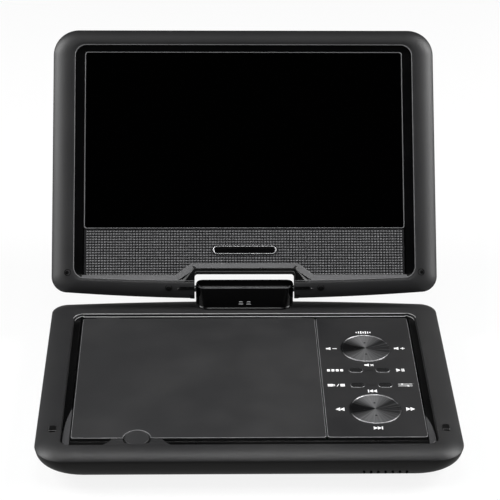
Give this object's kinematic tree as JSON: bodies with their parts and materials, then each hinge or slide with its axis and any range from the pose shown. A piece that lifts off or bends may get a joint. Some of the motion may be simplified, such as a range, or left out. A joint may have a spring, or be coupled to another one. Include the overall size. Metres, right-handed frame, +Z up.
{
  "type": "portable disc player",
  "caption": "Flat base with a hinged disc door, round four-way pads and keys, and a wide screen lid on a hinge that tilts and swivels.",
  "frame": {"origin": "centre of the open player's box, at the underside of the rubber feet", "axes": "+X to the user's right, +Y from the front edge towards the hinge, +Z up"},
  "size_m": [0.24, 0.2656, 0.1671],
  "materials": {
    "case_black": "fine matt grain",
    "lid_black": "fine matt grain",
    "gloss_black": "polished",
    "door_black": "satin sheen",
    "screen_black": "polished",
    "grille_black": "dotted texture",
    "pad_metal": "spun",
    "steel": "plain",
    "badge_trim": "bright",
    "rubber_black": "matt",
    "board_green": "solder mask",
    "cell_wrap": "shrink sleeve"
  },
  "bodies": {
    "base": {"base_bottom_case": "case_black", "base_top_frame": "case_black", "disc_deck": "case_black", "control_panel": "gloss_black", "key_board": "board_green", "main_board": "board_green", "battery_pack": "cell_wrap", "spindle_motor": "steel", "front_guide_rod": "steel", "rear_guide_rod": "steel", "sled_motor": "steel", "swivel_bearing": "steel", "door_hinge_pin_left": "steel", "door_hinge_pin_right": "steel", "foot_front_left": "rubber_black", "foot_front_right": "rubber_black", "foot_rear_left": "rubber_black", "foot_rear_right": "rubber_black", "lid_bumper_left": "rubber_black", "lid_bumper_right": "rubber_black", "case_screw_front_left": "steel", "case_screw_front_right": "steel", "case_screw_rear_left": "steel", "case_screw_rear_right": "steel", "dc_socket": "gloss_black", "headphone_socket": "gloss_black", "usb_socket": "steel", "card_slot": "gloss_black"},
    "disc_door": {"disc_door": "door_black"},
    "open_button": {"open_button": "gloss_black"},
    "door_latch": {"door_latch": "case_black"},
    "spindle": {"spindle_hub": "case_black"},
    "pickup": {"pickup_sled": "case_black"},
    "lead_screw": {"lead_screw": "steel"},
    "volume_pad_pivot": {"volume_pad_pivot": "case_black"},
    "volume_pad": {"volume_pad": "pad_metal"},
    "playback_pad_pivot": {"playback_pad_pivot": "case_black"},
    "playback_pad": {"playback_pad": "pad_metal"},
    "mode_key": {"mode_key": "gloss_black"},
    "play_key": {"play_key": "gloss_black"},
    "source_key": {"source_key": "gloss_black"},
    "setup_key": {"setup_key": "gloss_black"},
    "power_switch": {"power_switch": "case_black"},
    "swivel": {"hinge_block": "gloss_black", "swivel_shaft": "steel", "tilt_pin_left": "steel", "tilt_pin_right": "steel"},
    "lid": {"lid_front_bezel": "lid_black", "lid_back_cover": "lid_black", "lcd_panel": "screen_black", "grille_panel": "grille_black", "badge_plate": "badge_trim", "lid_speaker_left": "steel", "lid_speaker_right": "steel", "hinge_bracket_left": "steel", "hinge_bracket_right": "steel", "lid_screw_plug_1": "rubber_black", "lid_screw_plug_2": "rubber_black", "lid_screw_plug_3": "rubber_black", "lid_screw_plug_4": "rubber_black"}
  },
  "joints": [
    {"name": "screen_swivel", "type": "hinge", "parent": "base", "child": "swivel", "pos_m": [0, 0.03126, 0.0198], "axis": [0, 0, 1], "range_deg": [-90, 180]},
    {"name": "screen_tilt", "type": "hinge", "parent": "swivel", "child": "lid", "pos_m": [0, 0.03126, 0.0333], "axis": [1, 0, 0], "range_deg": [-52.8, 127.2]},
    {"name": "disc_door_hinge", "type": "hinge", "parent": "base", "child": "disc_door", "pos_m": [0, 0.01436, 0.0204], "axis": [-1, 0, 0], "range_deg": [0, 60]},
    {"name": "open_button_press", "type": "slide", "parent": "base", "child": "open_button", "axis": [0, 0, -1], "range_m": [0, 0.001], "stiffness_N_per_m": 900},
    {"name": "door_latch_slide", "type": "slide", "parent": "base", "child": "door_latch", "axis": [0, -1, 0], "range_m": [0, 0.001]},
    {"name": "spindle_spin", "type": "hinge", "parent": "base", "child": "spindle", "pos_m": [-0.033, -0.04984, 0.0158], "axis": [0, 0, 1], "continuous": true},
    {"name": "pickup_slide", "type": "slide", "parent": "base", "child": "pickup", "axis": [1, 0, 0], "range_m": [-0.008, 0.024]},
    {"name": "lead_screw_turn", "type": "hinge", "parent": "base", "child": "lead_screw", "pos_m": [0.007, -0.03724, 0.0078], "axis": [1, 0, 0], "range_deg": [-970, 2890]},
    {"name": "volume_pad_rock_up_down", "type": "hinge", "parent": "base", "child": "volume_pad_pivot", "pos_m": [0.072, -0.02134, 0.0204], "axis": [1, 0, 0], "range_deg": [-2, 2], "stiffness_Nm_per_rad": 0.8},
    {"name": "volume_pad_rock_left_right", "type": "hinge", "parent": "volume_pad_pivot", "child": "volume_pad", "pos_m": [0.072, -0.02134, 0.0204], "axis": [0, 1, 0], "range_deg": [-2, 2], "stiffness_Nm_per_rad": 0.8},
    {"name": "playback_pad_rock_up_down", "type": "hinge", "parent": "base", "child": "playback_pad_pivot", "pos_m": [0.0728, -0.08594, 0.0204], "axis": [1, 0, 0], "range_deg": [-2, 2], "stiffness_Nm_per_rad": 0.8},
    {"name": "playback_pad_rock_left_right", "type": "hinge", "parent": "playback_pad_pivot", "child": "playback_pad", "pos_m": [0.0728, -0.08594, 0.0204], "axis": [0, 1, 0], "range_deg": [-2, 2], "stiffness_Nm_per_rad": 0.8},
    {"name": "mode_key_press", "type": "slide", "parent": "base", "child": "mode_key", "axis": [0, 0, -1], "range_m": [0, 0.0006], "stiffness_N_per_m": 1500},
    {"name": "play_key_press", "type": "slide", "parent": "base", "child": "play_key", "axis": [0, 0, -1], "range_m": [0, 0.0006], "stiffness_N_per_m": 1500},
    {"name": "source_key_press", "type": "slide", "parent": "base", "child": "source_key", "axis": [0, 0, -1], "range_m": [0, 0.0006], "stiffness_N_per_m": 1500},
    {"name": "setup_key_press", "type": "slide", "parent": "base", "child": "setup_key", "axis": [0, 0, -1], "range_m": [0, 0.0006], "stiffness_N_per_m": 1500},
    {"name": "power_switch_slide", "type": "slide", "parent": "base", "child": "power_switch", "axis": [0, -1, 0], "range_m": [0, 0.003]}
  ],
  "couplings": [
    {"joint": "door_latch_slide", "follows": "open_button_press", "ratio": 1},
    {"joint": "lead_screw_turn", "follows": "pickup_slide", "rad_per_m": 2094.4}
  ]
}
